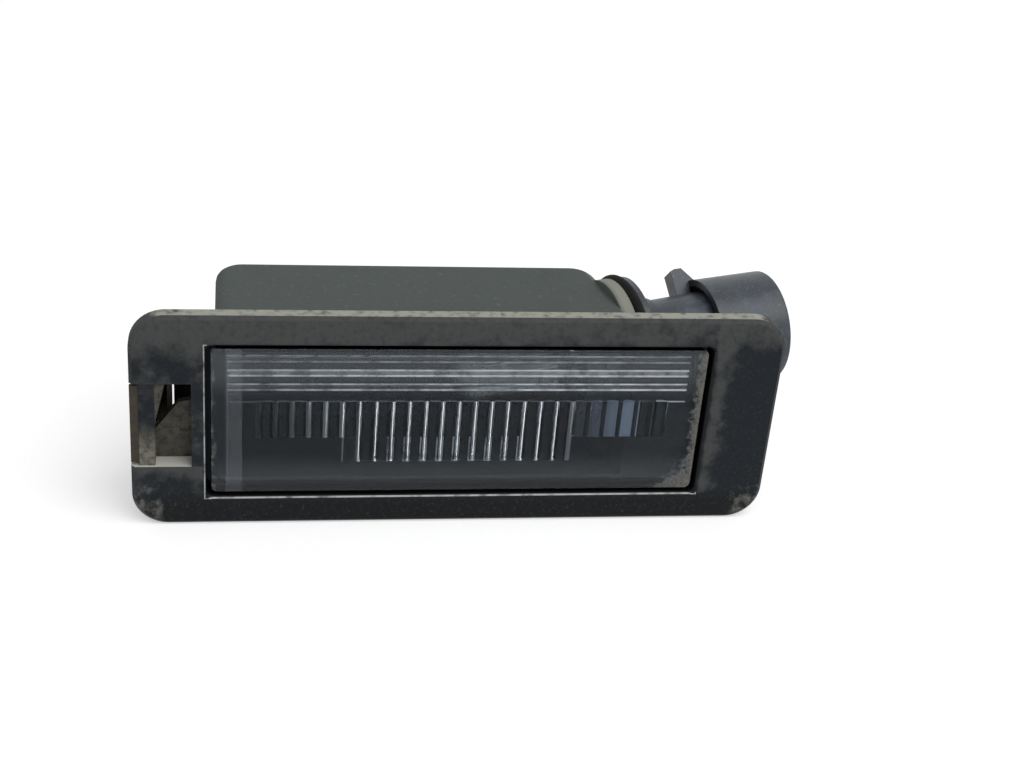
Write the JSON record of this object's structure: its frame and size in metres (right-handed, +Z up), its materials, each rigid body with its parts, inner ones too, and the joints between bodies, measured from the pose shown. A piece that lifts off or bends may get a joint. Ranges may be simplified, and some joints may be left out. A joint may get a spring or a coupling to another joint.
{
  "type": "number plate lamp",
  "caption": "Clip-in number plate lamp: framed clear lens, deep rear housing and a twist-in bulb holder with a round connector shell at its side.",
  "frame": {"origin": "centre of the bezel frame's back face, the plane that seats on the panel", "axes": "+X along the lamp towards the connector, +Y to the rear through the panel, +Z up"},
  "size_m": [0.0853, 0.0262, 0.0288],
  "materials": {
    "bezel_plastic": "moulded black plastic, weathered and dusty",
    "housing_plastic": "moulded grey-green plastic, matt, dusty on top",
    "clear_lens": "clear moulded lens, dusty at its rim",
    "seal_rubber": "black rubber",
    "spring_steel": "spring steel, rusted",
    "holder_plastic": "satin moulded plastic, bluish dark grey",
    "bulb_glass": "clear glass",
    "tungsten": "drawn tungsten",
    "lead_wire": "plated lead wire",
    "terminal_brass": "stamped brass, tinned"
  },
  "bodies": {
    "lamp": {"bezel_frame": "bezel_plastic", "rear_housing": "housing_plastic", "lens": "clear_lens", "lens_seal": "seal_rubber", "spring_clip": "spring_steel"},
    "bulb_holder": {"holder_body": "holder_plastic", "holder_seal": "seal_rubber", "bulb_glass": "bulb_glass", "bulb_filament": "tungsten", "bulb_lead_upper": "lead_wire", "bulb_lead_lower": "lead_wire", "terminal_upper": "terminal_brass", "terminal_lower": "terminal_brass"}
  },
  "joints": [
    {"name": "holder_turn", "type": "hinge", "parent": "lamp", "child": "bulb_holder", "pos_m": [0.02185, 0.0121, 0.0032], "axis": [0.9736, 0.2248, 0.0401], "range_deg": [0, 45]}
  ]
}
